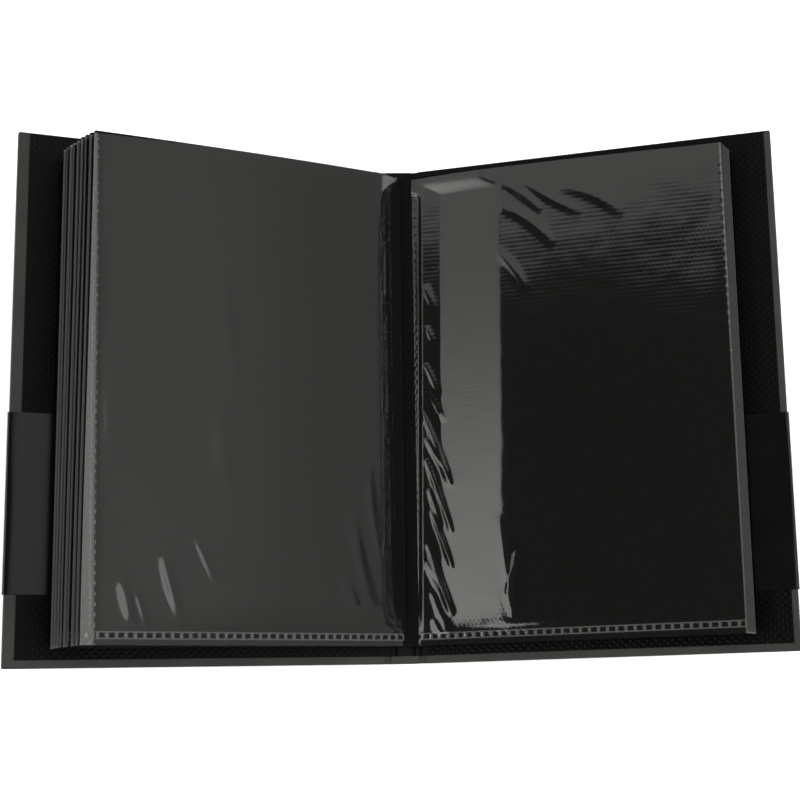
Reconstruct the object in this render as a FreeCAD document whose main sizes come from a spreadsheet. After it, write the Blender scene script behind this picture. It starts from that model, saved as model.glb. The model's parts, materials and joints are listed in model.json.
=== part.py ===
"""A slip-in pocket album with a belly band, lying open on its spine.

Millimetres. X runs across the opening (front cover at -X), Y towards the head, Z up.
The origin is under the middle of the spine, level with the band that the album rests on.
The spine is drawn with its outer face at height 0 and then raised by the band's thickness.
Each cover is drawn flat in a frame of its own, with its hinge line on the frame's Y axis,
and is then tilted up about it. Each leaf is drawn flat in the same way, about its bound edge.
"""

import FreeCAD, Part

import math
import os

import Sketcher

DIMS = {
    # cover case
    "cover_len": 170.0,
    "cover_reach": 125.0,
    "board_thick": 2.1,
    "board_start": 2.8,
    "wrap_thick": 0.15,
    "liner_thick": 0.15,
    "turn_in": 15.0,
    "hinge_half": 5.3,
    "hinge_gap": 0.15,
    "spine_half": 4.5,
    "open_angle": 20.0,
    # what shows of the covering around each endpaper
    "fore_margin_front": 3.5,
    "fore_margin_back": 2.0,
    "tail_margin": 2.5,
    "head_margin": 0.3,
    # leaves
    "leaf_reach": 113.5,
    "leaf_tail_inset": 5.6,
    "leaf_head_inset": 5.5,
    "leaf_corner": 0.8,
    "core_thick": 0.14,
    "film_thick": 0.05,
    "film_start": 2.0,
    "film_head_inset": 0.8,
    "film_edge_inset": 0.1,
    "root_half_gap": 0.35,
    "root_pitch": 0.27,
    "root_low": 2.8,
    "root_rise": 0.25,
    "strip_clear": 0.2,
    "strip_top_clear": 0.4,
    "fan_front_low": 22.2,
    "fan_front_step": 1.4,
    "fan_back_low": 21.2,
    "fan_back_step": 0.33,
    # belly band
    "band_width": 53.0,
    "band_thick": 0.25,
    "band_clear": 0.05,
    "band_flap": 40.0,
    "band_tail_front": 59.5,
    "band_tail_spine": 62.7,
    "band_tail_back": 65.9,
}
LEAVES_PER_SIDE = 9
FRONT, BACK = -1, 1
Y_AXIS = FreeCAD.Vector(0, 1, 0)

doc = FreeCAD.newDocument("pocket_album")
dims = doc.addObject("Spreadsheet::Sheet", "Dims")
for row, (alias, value) in enumerate(DIMS.items(), start=1):
    dims.set(f"A{row}", alias)
    dims.set(f"B{row}", str(value))
    dims.setAlias(f"B{row}", alias)
doc.recompute()

# The height of the spine's outer face over the surface that the album rests on.
BASE = "(Dims.band_clear + Dims.band_thick)"
# Heights in a cover's own frame, counted from the hinge line in the middle of the covering.
SKIN = "Dims.wrap_thick / 2"
BOARD_TOP = "(Dims.wrap_thick / 2 + Dims.board_thick)"
TURN_IN_TOP = f"({BOARD_TOP} + Dims.wrap_thick)"
INNER_FACE = f"({TURN_IN_TOP} + Dims.liner_thick)"
EDGE = "Dims.cover_len / 2"
BOARD_EDGE = "(Dims.cover_len / 2 - Dims.wrap_thick)"
TURN_IN_EDGE = "(Dims.cover_len / 2 - Dims.turn_in)"
LEAF_HEAD = f"({EDGE} - Dims.leaf_head_inset)"
LEAF_TAIL = f"(-{EDGE} + Dims.leaf_tail_inset)"
CUT_OVER = 1.0  # how far a cutting block stands past what it cuts

parts = []


def bind(obj, bindings):
    """Bind each property of obj to its expression."""
    for prop, expression in bindings.items():
        obj.setExpression(prop, str(expression))


def span(side, low, high):
    """The ends along X of a piece that reaches from low to high, out from the hinge line."""
    return (low, high) if side == BACK else (f"-({high})", f"-({low})")


def box(name, x_span, y_span, z_span):
    """A block between the two expressions given for each axis."""
    block = doc.addObject("Part::Box", name)
    sizes = zip(("Length", "Width", "Height"), "xyz", (x_span, y_span, z_span))
    for prop, axis, (low, high) in sizes:
        bind(block, {prop: f"({high}) - ({low})", f"Placement.Base.{axis}": low})
    return block


def cut(name, base, *tools):
    """base less each of the tools."""
    for number, tool in enumerate(tools):
        result = doc.addObject("Part::Cut", f"{name}_cut_{number}")
        result.Base, result.Tool = base, tool
        base = result
    return base


def fuse(name, *shapes):
    """The shapes as one solid."""
    result = doc.addObject("Part::MultiFuse", name)
    result.Shapes = list(shapes)
    result.Refine = True
    return result


def sketch_on(body, name, role, corners, offset="0"):
    """A closed outline on one of the body's own planes. Each corner is a pair of expressions."""
    sketch = body.newObject("Sketcher::SketchObject", name)
    plane = next(f for f in body.Origin.OriginFeatures if f.Role == role)
    sketch.AttachmentSupport = [(plane, "")]
    sketch.MapMode = "FlatFace"
    sketch.setExpression("AttachmentOffset.Base.z", offset)
    count = len(corners)
    turns = [2 * math.pi * n / count for n in range(count)]
    start = [FreeCAD.Vector(math.cos(t), math.sin(t), 0) for t in turns]
    for n in range(count):
        sketch.addGeometry(Part.LineSegment(start[n], start[(n + 1) % count]))
    for n in range(count):
        sketch.addConstraint(Sketcher.Constraint("Coincident", n, 2, (n + 1) % count, 1))
    for n, (x, y) in enumerate(corners):
        for kind, place, expression in (("DistanceX", "x", x), ("DistanceY", "y", y)):
            at_start = getattr(start[n], place)
            index = sketch.addConstraint(Sketcher.Constraint(kind, -1, 1, n, 1, at_start))
            sketch.renameConstraint(index, f"{place}{n}")
            sketch.setExpression(f"Constraints.{place}{n}", str(expression))
    return sketch


def rectangle(x_span, y_span):
    """The corners of a rectangle between two expressions each way."""
    (left, right), (low, high) = x_span, y_span
    return [(left, low), (right, low), (right, high), (left, high)]


def pad(body, name, sketch, length):
    """A pad of the outline, along its plane's normal."""
    feature = body.newObject("PartDesign::Pad", name)
    feature.Profile = sketch
    feature.setExpression("Length", str(length))
    sketch.Visibility = False
    return feature


def plate(name, corners, bottom, thickness):
    """A body made of one flat plate. Returns the body and its pad."""
    body = doc.addObject("PartDesign::Body", name)
    outline = sketch_on(body, f"{name}_outline", "XY_Plane", corners, bottom)
    return body, pad(body, f"{name}_pad", outline, thickness)


def add_plate(body, name, corners, bottom, thickness):
    """One more flat plate on a body."""
    outline = sketch_on(body, f"{name}_outline", "XY_Plane", corners, bottom)
    return pad(body, f"{name}_pad", outline, thickness)


def finish(obj, label):
    """Name the sub-part and put it on the list of pieces."""
    obj.Label = label
    parts.append(obj)


def finish_spine(obj, label):
    """Finish a piece of the spine, raised to its place over the band."""
    bind(obj, {"Placement.Base.z": BASE})
    finish(obj, label)


def tilt(obj, side, x, z, angle):
    """Stand a flat piece on its hinge line at (x, z), its free edge raised by angle."""
    obj.Placement = FreeCAD.Placement(FreeCAD.Vector(), FreeCAD.Rotation(Y_AXIS * -side, 1))
    bind(
        obj,
        {
            "Placement.Base.x": f"{side} * ({x})",
            "Placement.Base.z": f"{z} + {BASE}",
            "Placement.Rotation.Angle": angle,
        },
    )


def tilt_cover(obj, side):
    """Stand a piece of a cover on that cover's hinge line."""
    tilt(obj, side, "Dims.hinge_half", SKIN, "Dims.open_angle")


def side_name(side):
    """What the cover on this side is called."""
    return "front" if side == FRONT else "back"


def root_height(place):
    """How high a leaf is bound over the spine's outer face, counting from the lowest leaf."""
    return f"(Dims.root_low + {place} * Dims.root_rise)"


def make_board(side):
    """The stiff greyboard inside a cover."""
    x_span = span(side, "Dims.board_start", "Dims.cover_reach - Dims.wrap_thick")
    corners = rectangle(x_span, (f"-{BOARD_EDGE}", BOARD_EDGE))
    name = f"{side_name(side)}_board"
    body, _ = plate(f"{name}_body", corners, SKIN, "Dims.board_thick")
    tilt_cover(body, side)
    finish(body, name)


def make_covering(side):
    """The covering of one cover: outer face, three wrapped edges and the turn-ins inside them."""
    name = f"{side_name(side)}_covering"
    far = "Dims.cover_reach"
    y_span = (f"-{EDGE}", EDGE)
    skin = box(f"{name}_skin", span(side, "Dims.hinge_gap", far), y_span, (f"-{SKIN}", SKIN))
    block = box(f"{name}_block", span(side, "Dims.board_start", far), y_span, (SKIN, TURN_IN_TOP))
    inside = f"Dims.board_start - {CUT_OVER}"
    board = box(
        f"{name}_board_space",
        span(side, inside, "Dims.cover_reach - Dims.wrap_thick"),
        (f"-{BOARD_EDGE}", BOARD_EDGE),
        (f"{SKIN}", BOARD_TOP),
    )
    window = box(
        f"{name}_window",
        span(side, inside, "Dims.cover_reach - Dims.turn_in"),
        (f"-{TURN_IN_EDGE}", TURN_IN_EDGE),
        (BOARD_TOP, f"{TURN_IN_TOP} + {CUT_OVER}"),
    )
    shell = fuse(f"{name}_shell", skin, cut(name, block, board, window))
    tilt_cover(shell, side)
    finish(shell, name)


def make_endpaper(side):
    """The sheet pasted inside a cover. It dips to the board inside the turn-ins."""
    name = f"{side_name(side)}_endpaper"
    margin = f"Dims.fore_margin_{side_name(side)}"
    sheet = rectangle(
        span(side, "Dims.board_start", f"Dims.cover_reach - {margin}"),
        (f"-{EDGE} + Dims.tail_margin", f"{EDGE} - Dims.head_margin"),
    )
    dip = rectangle(
        span(side, "Dims.board_start", "Dims.cover_reach - Dims.turn_in"),
        (f"-{TURN_IN_EDGE}", TURN_IN_EDGE),
    )
    body, _ = plate(f"{name}_body", sheet, TURN_IN_TOP, "Dims.liner_thick")
    add_plate(body, f"{name}_dip", dip, BOARD_TOP, "Dims.wrap_thick")
    tilt_cover(body, side)
    finish(body, name)


def make_spine():
    """The spine's board, covering and lining, and the strip that the leaves are bound to."""
    half = "Dims.spine_half"
    x_span = (f"-{half}", half)
    corners = rectangle(x_span, (f"-{BOARD_EDGE}", BOARD_EDGE))
    board, _ = plate("spine_board_body", corners, "Dims.wrap_thick", "Dims.board_thick")
    finish_spine(board, "spine_board")

    board_top = "(Dims.wrap_thick + Dims.board_thick)"
    turn_in_top = f"({board_top} + Dims.wrap_thick)"
    reach = "(Dims.hinge_half - Dims.hinge_gap)"
    y_span = (f"-{EDGE}", EDGE)
    skin = box("spine_skin", (f"-{reach}", reach), y_span, ("0", "Dims.wrap_thick"))
    block = box("spine_block", x_span, y_span, ("Dims.wrap_thick", turn_in_top))
    wide = (f"-{half} - {CUT_OVER}", f"{half} + {CUT_OVER}")
    space = box(
        "spine_board_space", wide, (f"-{BOARD_EDGE}", BOARD_EDGE), ("Dims.wrap_thick", board_top)
    )
    window = box(
        "spine_window",
        wide,
        (f"-{TURN_IN_EDGE}", TURN_IN_EDGE),
        (board_top, f"{turn_in_top} + {CUT_OVER}"),
    )
    finish_spine(fuse("spine_shell", skin, cut("spine", block, space, window)), "spine_covering")

    sheet = rectangle(
        x_span, (f"-{EDGE} + Dims.tail_margin", f"{EDGE} - Dims.head_margin")
    )
    lining, _ = plate("spine_lining_body", sheet, turn_in_top, "Dims.liner_thick")
    dip = rectangle(x_span, (f"-{TURN_IN_EDGE}", TURN_IN_EDGE))
    add_plate(lining, "spine_lining_dip", dip, board_top, "Dims.wrap_thick")
    finish_spine(lining, "spine_lining")

    # The strip is a low roof under the leaves' bound edges, cut flat along its ridge.
    foot = f"({turn_in_top} + Dims.liner_thick)"
    ridge = f"({root_height(LEAVES_PER_SIDE - 1)} - Dims.strip_top_clear)"
    slope = "(Dims.root_rise / Dims.root_pitch)"
    roof = f"({root_height(LEAVES_PER_SIDE - 1)} - Dims.strip_clear)"
    ridge_half = f"(Dims.root_half_gap + ({roof} - {ridge}) / {slope})"
    foot_half = f"(Dims.root_half_gap + ({roof} - {foot}) / {slope})"
    profile = [
        (f"-{foot_half}", foot),
        (foot_half, foot),
        (ridge_half, ridge),
        (f"-{ridge_half}", ridge),
    ]
    strip = doc.addObject("PartDesign::Body", "binding_strip_body")
    outline = sketch_on(strip, "binding_strip_outline", "XZ_Plane", profile, f"-{LEAF_HEAD}")
    pad(strip, "binding_strip_pad", outline, f"{LEAF_HEAD} - ({LEAF_TAIL})")
    finish_spine(strip, "binding_strip")


def make_leaf(number, side, place):
    """A black sheet with a clear pocket film on each face, bound along one edge."""
    label = f"leaf_{number:02d}"
    outline = rectangle(span(side, "0", "Dims.leaf_reach"), (LEAF_TAIL, LEAF_HEAD))
    body, base = plate(f"{label}_body", outline, "-Dims.core_thick / 2", "Dims.core_thick")
    doc.recompute()
    far = side * DIMS["leaf_reach"]
    corners = [
        f"Edge{n}"
        for n, edge in enumerate(base.Shape.Edges, start=1)
        if abs(edge.BoundBox.XMin - far) < 1e-6
        and abs(edge.BoundBox.XMax - far) < 1e-6
        and edge.BoundBox.ZLength > DIMS["core_thick"] / 2
    ]
    rounded = body.newObject("PartDesign::Fillet", f"{label}_corners")
    rounded.Base = (base, corners)
    rounded.setExpression("Radius", "Dims.leaf_corner")
    body.Tip = rounded

    core, film = "Dims.core_thick / 2", "Dims.film_thick"
    x_span = span(side, "Dims.film_start", "Dims.leaf_reach - Dims.leaf_corner / 2")
    y_span = (f"{LEAF_TAIL} + Dims.film_edge_inset", f"{LEAF_HEAD} - Dims.film_head_inset")
    films = doc.addObject("Part::Compound", f"{label}_films")
    films.Links = [
        box(f"{label}_upper_film", x_span, y_span, (core, f"{core} + {film}")),
        box(f"{label}_lower_film", x_span, y_span, (f"-{core} - {film}", f"-{core}")),
    ]

    x = f"Dims.root_half_gap + {LEAVES_PER_SIDE - 1 - place} * Dims.root_pitch"
    fan = f"Dims.fan_{side_name(side)}"
    for obj, piece in ((body, "sheet"), (films, "pockets")):
        tilt(obj, side, x, root_height(place), f"{fan}_low + {place} * {fan}_step")
        finish(obj, f"{label}_{piece}")


def make_band_side(side):
    """The band's panel outside a cover, folded round the fore-edge and tucked in as a flap."""
    name = f"band_{side_name(side)}"
    outer = f"(Dims.wrap_thick / 2 + Dims.band_clear)"
    inner = f"({INNER_FACE} + Dims.band_clear)"
    fold = "(Dims.cover_reach + Dims.band_clear)"
    edge = f"({fold} + Dims.band_thick)"
    tail = f"-Dims.band_tail_{side_name(side)}"
    near, far = "Dims.hinge_gap", edge
    if side == FRONT:
        near, far = f"-{near}", f"-{far}"
    panel = [
        (near, "-Dims.band_tail_spine"),
        (far, tail),
        (far, f"{tail} + Dims.band_width"),
        (near, "-Dims.band_tail_spine + Dims.band_width"),
    ]
    body, _ = plate(f"{name}_body", panel, f"-{outer} - Dims.band_thick", "Dims.band_thick")
    y_span = (tail, f"{tail} + Dims.band_width")
    wall = rectangle(span(side, fold, edge), y_span)
    depth = f"{inner} + {outer} + 2 * Dims.band_thick"
    add_plate(body, f"{name}_fold", wall, f"-{outer} - Dims.band_thick", depth)
    flap = rectangle(span(side, f"{edge} - Dims.band_flap", edge), y_span)
    add_plate(body, f"{name}_flap", flap, inner, "Dims.band_thick")
    tilt_cover(body, side)
    finish(body, name)


def make_band_spine():
    """The band's panel across the outside of the spine."""
    reach = "(Dims.hinge_half - Dims.hinge_gap)"
    tail = "-Dims.band_tail_spine"
    corners = rectangle((f"-{reach}", reach), (tail, f"{tail} + Dims.band_width"))
    bottom = "-Dims.band_clear - Dims.band_thick"
    body, _ = plate("band_spine_body", corners, bottom, "Dims.band_thick")
    finish_spine(body, "band_spine")


for cover_side in (FRONT, BACK):
    make_board(cover_side)
    make_covering(cover_side)
    make_endpaper(cover_side)
    make_band_side(cover_side)
make_spine()
make_band_spine()
for leaf in range(1, 2 * LEAVES_PER_SIDE + 1):
    if leaf <= LEAVES_PER_SIDE:
        make_leaf(leaf, FRONT, leaf - 1)
    else:
        make_leaf(leaf, BACK, 2 * LEAVES_PER_SIDE - leaf)
doc.recompute()

for obj in doc.Objects:
    if "Invalid" in obj.State or "Error" in obj.State:
        raise RuntimeError(f"{obj.Label} failed: {obj.State}")
os.makedirs("parts", exist_ok=True)
for part in parts:
    shape = part.Shape
    if shape.isNull() or not shape.isValid() or not shape.Solids:
        raise RuntimeError(f"{part.Label} has no valid shape")
    shape.exportStep(os.path.join("parts", f"{part.Label}.step"))
    ends = shape.BoundBox
    print(
        f"{part.Label:16s} {shape.Volume:9.1f} mm3, {len(shape.Solids)} solids,"
        f" x {ends.XMin:.2f} to {ends.XMax:.2f}, y {ends.YMin:.2f} to {ends.YMax:.2f},"
        f" z {ends.ZMin:.2f} to {ends.ZMax:.2f}"
    )
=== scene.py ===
"""Looks for a small slip-in pocket album that lies open on its back.

Lengths below are in millimetres unless a name says otherwise, and meshes are scaled to metres as they are
made. A panel (a cover or a leaf) has its own frame: out runs from its hinge to its fore-edge, along runs from
tail to head, and up stands off the side that faces the reader.
"""

import json
import math

import bpy
import numpy as np
from mathutils import Matrix, Vector


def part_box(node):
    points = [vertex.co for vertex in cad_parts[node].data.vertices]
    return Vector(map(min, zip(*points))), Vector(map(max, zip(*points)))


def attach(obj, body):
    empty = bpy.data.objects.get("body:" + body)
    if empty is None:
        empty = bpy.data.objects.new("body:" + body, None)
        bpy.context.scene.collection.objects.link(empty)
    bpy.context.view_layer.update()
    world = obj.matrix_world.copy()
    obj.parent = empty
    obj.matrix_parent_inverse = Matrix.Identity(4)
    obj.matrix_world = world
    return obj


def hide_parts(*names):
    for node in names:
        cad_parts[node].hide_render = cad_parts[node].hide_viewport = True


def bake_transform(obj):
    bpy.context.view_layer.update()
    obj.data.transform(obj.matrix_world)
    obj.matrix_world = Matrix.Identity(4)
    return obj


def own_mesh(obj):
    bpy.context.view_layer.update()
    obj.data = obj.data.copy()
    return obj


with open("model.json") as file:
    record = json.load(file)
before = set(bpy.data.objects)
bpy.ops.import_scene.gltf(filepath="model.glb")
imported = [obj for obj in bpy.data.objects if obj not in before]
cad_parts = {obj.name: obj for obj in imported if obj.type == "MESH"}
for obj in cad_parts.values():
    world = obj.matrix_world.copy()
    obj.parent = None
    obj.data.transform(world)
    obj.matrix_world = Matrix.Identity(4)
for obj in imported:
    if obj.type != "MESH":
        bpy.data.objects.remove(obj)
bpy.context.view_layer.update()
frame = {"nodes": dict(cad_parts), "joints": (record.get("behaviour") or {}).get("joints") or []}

MM = 0.001
FRONT = -1
BACK = 1
JOINTS = {joint["name"]: joint for joint in frame["joints"]}
LEAVES_PER_SIDE = 9
LEAF_COUNT = 2 * LEAVES_PER_SIDE
SIDE_NAME = {FRONT: "front", BACK: "back"}

# ---------------------------------------------------------------- dimensions read from the frame


def box_mm(node):
    """Lowest and highest corner of a CAD node in millimetres."""
    low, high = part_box(node)
    return np.array(low) / MM, np.array(high) / MM


def plate_tilt(node, thick):
    """Length and tilt of a flat plate that is thick millimetres thick and turned about the Y axis."""
    low, high = box_mm(node)
    wide = high[0] - low[0]
    tall = high[2] - low[2]
    angle = math.atan2(tall, wide)
    for _ in range(20):
        angle = math.atan2(tall - thick * math.cos(angle), wide - thick * math.sin(angle))
    length = (wide - thick * math.sin(angle)) / math.cos(angle)
    return length, angle


BOARD_THICK = 2.1
SKIN_THICK = 0.15
SHEET_THICK = 0.14
PAPER_THICK = 0.12
BOARD_START = 2.8

HINGE_X = JOINTS["back_cover_hinge"]["pos_m"][0] / MM
HINGE_Z = JOINTS["back_cover_hinge"]["pos_m"][2] / MM
BOARD_REACH, COVER_TILT = plate_tilt("back_board", BOARD_THICK)
COVER_REACH = BOARD_START + BOARD_REACH + SKIN_THICK
COVER_HEAD = box_mm("back_covering")[1][1]
SPINE_TOP = box_mm("spine_covering")[1][2]
SPINE_BOTTOM = box_mm("spine_covering")[0][2]
SPINE_HALF = box_mm("spine_board")[1][0]
SKIN_LOW = -SKIN_THICK / 2
TURN_IN_TOP = SKIN_LOW + SKIN_THICK + BOARD_THICK + SKIN_THICK
ENDPAPER_TOP = TURN_IN_TOP + SKIN_THICK
ENDPAPER_TAIL = box_mm("back_endpaper")[0][1]
ENDPAPER_HEAD = box_mm("back_endpaper")[1][1]
LEAF_REACH = plate_tilt("leaf_10_sheet", SHEET_THICK)[0]
LEAF_TAIL = box_mm("leaf_10_sheet")[0][1]
LEAF_HEAD = box_mm("leaf_10_sheet")[1][1]
FILM_TAIL = box_mm("leaf_10_pockets")[0][1]
FILM_HEAD = box_mm("leaf_10_pockets")[1][1]
BINDING_HALF = box_mm("binding_strip")[1][0]
BINDING_LOW = box_mm("binding_strip")[0][2]
SEAM_FORE = LEAF_REACH - 3.3
SEAM_TAIL = LEAF_TAIL + 3.0
SEAM_ROOT = 2.6
DASH_PITCH = 3.0
FILM_REACH = LEAF_REACH - 0.05
DASH_HALF = 1.1


# ---------------------------------------------------------------- mesh helpers


def panel_frame(side, root_x, root_z, angle):
    """A function from (out, along, up) in a panel's own frame to points of the row frame."""

    def place(out, along, up):
        out, along, up = np.broadcast_arrays(out, along, up)
        x = side * (root_x + out * math.cos(angle) - up * math.sin(angle))
        z = root_z + out * math.sin(angle) + up * math.cos(angle)
        return np.stack([x, along, z], axis=-1)

    return place


def cover_frame(side):
    return panel_frame(side, HINGE_X, HINGE_Z, COVER_TILT)


def leaf_side(number):
    return FRONT if number <= LEAVES_PER_SIDE else BACK


def leaf_place(number):
    """0 for the leaf next to its cover, 8 for the leaf on top of its side."""
    return number - 1 if number <= LEAVES_PER_SIDE else LEAF_COUNT - number


def leaf_body(number):
    return f"leaf_{number:02d}"


def leaf_frame(number):
    joint = JOINTS.get(f"{leaf_body(number)}_hinge") or JOINTS[f"{leaf_body(number)}_turn"]
    root_x = abs(joint["pos_m"][0]) / MM
    root_z = joint["pos_m"][2] / MM
    angle = plate_tilt(f"{leaf_body(number)}_sheet", SHEET_THICK)[1]
    return panel_frame(leaf_side(number), root_x, root_z, angle)


def new_object(name, points, faces, panel=None):
    """A mesh object from points in millimetres. panel, if given, holds each point's panel coordinates."""
    mesh = bpy.data.meshes.new(name)
    mesh.from_pydata((np.asarray(points) * MM).tolist(), [], [tuple(f) for f in faces])
    if panel is not None:
        store = mesh.attributes.new("panel", "FLOAT_VECTOR", "POINT")
        store.data.foreach_set("vector", np.asarray(panel, np.float32).ravel())
    mesh.update()
    obj = bpy.data.objects.new(name, mesh)
    bpy.context.scene.collection.objects.link(obj)
    return obj


def grid_faces(rows, columns, start=0, flip=False, wrap=False):
    """Quads of a rows x columns grid of points. wrap joins the last row to the first."""
    row = np.arange(rows if wrap else rows - 1)
    column = np.arange(columns - 1)
    row, column = np.meshgrid(row, column, indexing="ij")
    next_row = (row + 1) % rows
    a = start + row * columns + column
    b = start + row * columns + column + 1
    c = start + next_row * columns + column + 1
    d = start + next_row * columns + column
    faces = np.stack([a, b, c, d], axis=-1).reshape(-1, 4)
    return faces[:, ::-1] if flip else faces


def grid_rim(rows, columns):
    """The points round the edge of a grid, in order."""
    first_row = np.arange(columns)
    last_column = np.arange(1, rows) * columns + columns - 1
    last_row = (rows - 1) * columns + np.arange(columns - 2, -1, -1)
    first_column = np.arange(rows - 2, 0, -1) * columns
    return np.concatenate([first_row, last_column, last_row, first_column])


def stack(*coordinates):
    """Coordinates of a grid, put together point by point."""
    return np.stack(np.broadcast_arrays(*coordinates), axis=-1)


def smooth(obj, angle_degrees=40):
    """Smooth shading, with edges sharper than the angle kept crisp."""
    mesh = obj.data
    mesh.polygons.foreach_set("use_smooth", [True] * len(mesh.polygons))
    mesh.set_sharp_from_angle(angle=math.radians(angle_degrees))


def thicken(obj):
    """Gives an open skin the thickness of paper."""
    modifier = obj.modifiers.new("paper", "SOLIDIFY")
    modifier.thickness = PAPER_THICK * MM
    modifier.offset = -1
    graph = bpy.context.evaluated_depsgraph_get()
    result = bpy.data.meshes.new_from_object(obj.evaluated_get(graph))
    obj.modifiers.clear()
    obj.data = result


def surface(name, place, out, along, up, side):
    """An open sheet over a grid of panel coordinates, facing up."""
    points = place(out, along, up)
    rows, columns = points.shape[:2]
    faces = grid_faces(rows, columns, flip=side == FRONT)
    return new_object(name, points.reshape(-1, 3), faces, stack(out, along, up).reshape(-1, 3))


def slab(name, place, out, along, low, high, side):
    """A closed sheet between two heights over a grid of panel coordinates."""
    rows, columns = np.broadcast(out, along).shape
    points = [place(out, along, up).reshape(-1, 3) for up in (low, high)]
    panel = [stack(out, along, up).reshape(-1, 3) for up in (low, high)]
    count = rows * columns
    turned = side == FRONT
    faces = [grid_faces(rows, columns, 0, flip=not turned), grid_faces(rows, columns, count, flip=turned)]
    rim = grid_rim(rows, columns)
    after = np.roll(rim, -1)
    wall = np.stack([rim, after, after + count, rim + count], axis=-1)
    faces.append(wall[:, ::-1] if turned else wall)
    return new_object(name, np.concatenate(points), np.concatenate(faces), np.concatenate(panel))


def join(name, parts):
    """One object from several meshes with the same attributes."""
    points = []
    panels = []
    faces = []
    start = 0
    for part in parts:
        mesh = part.data
        count = len(mesh.vertices)
        place = np.empty(count * 3, np.float32)
        mesh.vertices.foreach_get("co", place)
        panel = np.empty(count * 3, np.float32)
        mesh.attributes["panel"].data.foreach_get("vector", panel)
        points.append(place.reshape(-1, 3) / MM)
        panels.append(panel.reshape(-1, 3))
        faces.extend([tuple(v + start for v in polygon.vertices) for polygon in mesh.polygons])
        start += count
        bpy.data.objects.remove(part)
    return new_object(name, np.concatenate(points), faces, np.concatenate(panels))


def arc(centre, radius, start, end, steps):
    """Points on a circular arc, angles in degrees."""
    turn = np.radians(np.linspace(start, end, steps))
    return np.stack([centre[0] + radius * np.cos(turn), centre[1] + radius * np.sin(turn)], axis=-1)


def ease(value, low, high):
    """0 below low, 1 above high, smooth between them."""
    t = np.clip((value - low) / (high - low), 0, 1)
    return t * t * (3 - 2 * t)


# ---------------------------------------------------------------- embossed dots


class Lattice:
    """Rows of round dots, with every other row moved along by half a pitch."""

    def __init__(self, row_pitch, dot_pitch, radius, height):
        self.row_pitch = row_pitch
        self.dot_pitch = dot_pitch
        self.radius = radius
        self.height = height

    def relief(self, out, along):
        """Height of the dots in millimetres over panel coordinates."""
        row = np.floor(along / self.row_pitch)
        shift = (row % 2) * 0.5
        across = ((out / self.dot_pitch + shift) % 1 - 0.5) * self.dot_pitch
        up_row = (along / self.row_pitch % 1 - 0.5) * self.row_pitch
        near = np.clip(1 - (across**2 + up_row**2) / self.radius**2, 0, 1)
        return self.height * near * (2 - near)


ENDPAPER_DOTS = Lattice(row_pitch=1.15, dot_pitch=2.7, radius=0.52, height=0.12)
SHEET_DOTS = Lattice(row_pitch=1.42, dot_pitch=1.5, radius=0.5, height=0.05)

# ---------------------------------------------------------------- materials


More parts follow.
